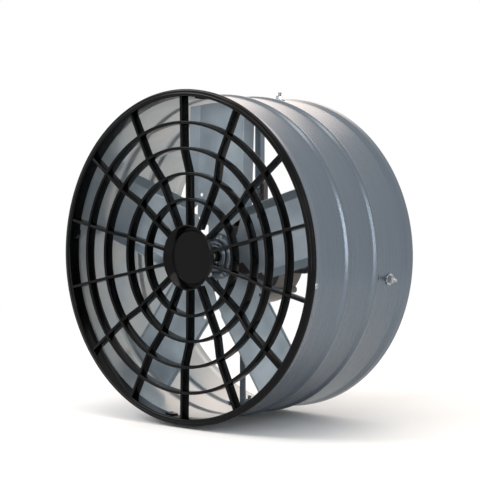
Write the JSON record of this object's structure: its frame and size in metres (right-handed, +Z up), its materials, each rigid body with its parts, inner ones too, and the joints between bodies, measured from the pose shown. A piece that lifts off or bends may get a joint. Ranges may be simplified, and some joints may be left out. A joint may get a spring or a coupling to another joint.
{
  "type": "axial exhaust fan",
  "caption": "Round axial exhaust fan with a beaded sheet-steel tube, a black front grille, a folded-blade impeller and a motor held on arms.",
  "frame": {"origin": "centre of the housing's rear edge, on the fan axis", "axes": "+Y along the fan axis, the way the air leaves; +Z up; +X to the right as seen from the grille"},
  "size_m": [0.5174, 0.255, 0.5174],
  "materials": {
    "galvanised_sheet": "galvanised sheet steel, satin with faint streaks",
    "black_moulding": "black injection-moulded plastic",
    "zinc_fastener": "bright zinc plate",
    "motor_paint": "dark brown-grey paint on cast metal",
    "laminations": "varnished electrical steel",
    "winding_copper": "varnished copper wire",
    "bearing_steel": "ground bearing steel",
    "shaft_steel": "turned steel",
    "cast_aluminium": "die-cast aluminium",
    "black_oxide": "black oxide steel",
    "rubber": "moulded rubber",
    "capacitor_can": "pale grey plastic can",
    "gland_plastic": "black nylon"
  },
  "bodies": {
    "fan_frame": {"housing_tube": "galvanised_sheet", "grille": "black_moulding", "grille_screws": "zinc_fastener", "bracket_arm_1": "galvanised_sheet", "bracket_arm_2": "galvanised_sheet", "bracket_arm_3": "galvanised_sheet", "bracket_arm_4": "galvanised_sheet", "arm_bolts": "zinc_fastener", "arm_washers": "zinc_fastener", "arm_nuts": "zinc_fastener", "motor_front_shield": "motor_paint", "motor_rear_shield": "motor_paint", "ear_screws": "zinc_fastener", "tie_bolts": "zinc_fastener", "stator_core": "laminations", "stator_windings": "winding_copper", "front_bearing_outer_ring": "bearing_steel", "rear_bearing_outer_ring": "bearing_steel", "run_capacitor": "capacitor_can", "capacitor_strap": "galvanised_sheet", "strap_screws": "zinc_fastener", "cable_gland": "gland_plastic"},
    "impeller": {"shaft": "shaft_steel", "rotor_core": "laminations", "rotor_cage_rings": "cast_aluminium", "front_bearing_inner_ring": "bearing_steel", "rear_bearing_inner_ring": "bearing_steel", "shaft_slinger": "rubber", "impeller_boss": "black_oxide", "blade_1": "galvanised_sheet", "blade_2": "galvanised_sheet", "blade_3": "galvanised_sheet", "blade_4": "galvanised_sheet", "blade_5": "galvanised_sheet", "clamp_disc": "galvanised_sheet", "hub_rivets": "zinc_fastener", "hub_washer": "zinc_fastener", "hub_nut": "black_oxide"}
  },
  "joints": [
    {"name": "impeller_spin", "type": "hinge", "parent": "fan_frame", "child": "impeller", "pos_m": [0, -0.08, 0], "axis": [0, 1, 0], "continuous": true}
  ]
}
